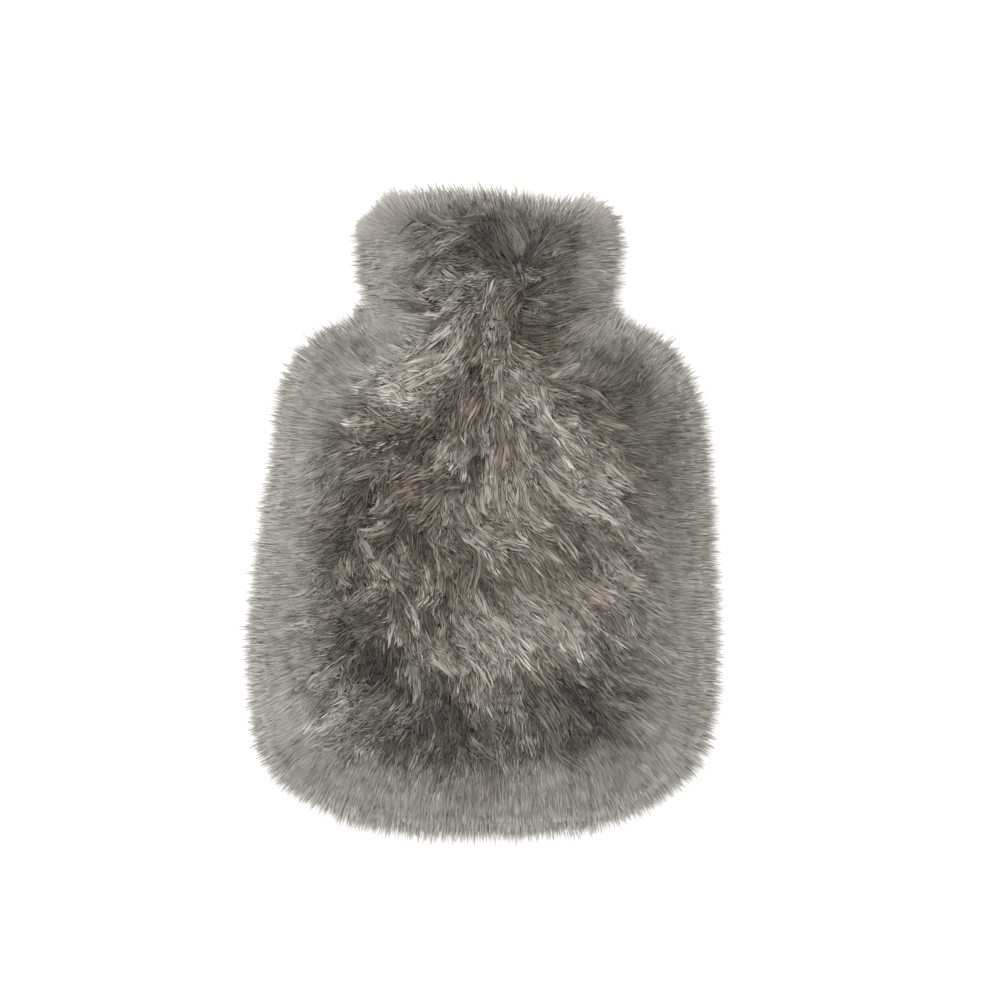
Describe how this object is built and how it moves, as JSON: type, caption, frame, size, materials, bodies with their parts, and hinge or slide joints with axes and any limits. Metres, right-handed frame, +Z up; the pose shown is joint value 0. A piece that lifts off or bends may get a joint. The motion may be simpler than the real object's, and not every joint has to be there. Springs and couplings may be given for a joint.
{
  "type": "hot water bottle cover",
  "caption": "Hollow sheepskin cover for a hot water bottle, with long shaggy wool outside and an open neck, lying on its back.",
  "frame": {"origin": "on the surface that the cover lies on, under the middle of its box", "axes": "+Z up through the face, +Y along the cover and out of its neck, +X to the right as seen from above with the neck away from the viewer"},
  "size_m": [0.2742, 0.3754, 0.0848],
  "materials": {
    "wool": "long taupe grey sheepskin wool in wavy locks",
    "wool_tips": "paler, straighter wool at the rim",
    "skin": "matt suede side of the sheepskin, inside the cover"
  },
  "bodies": {
    "root": {"front_panel": "wool", "back_panel": "wool", "seam_wool": "wool_tips", "mouth_wool": "wool_tips"}
  },
  "joints": []
}
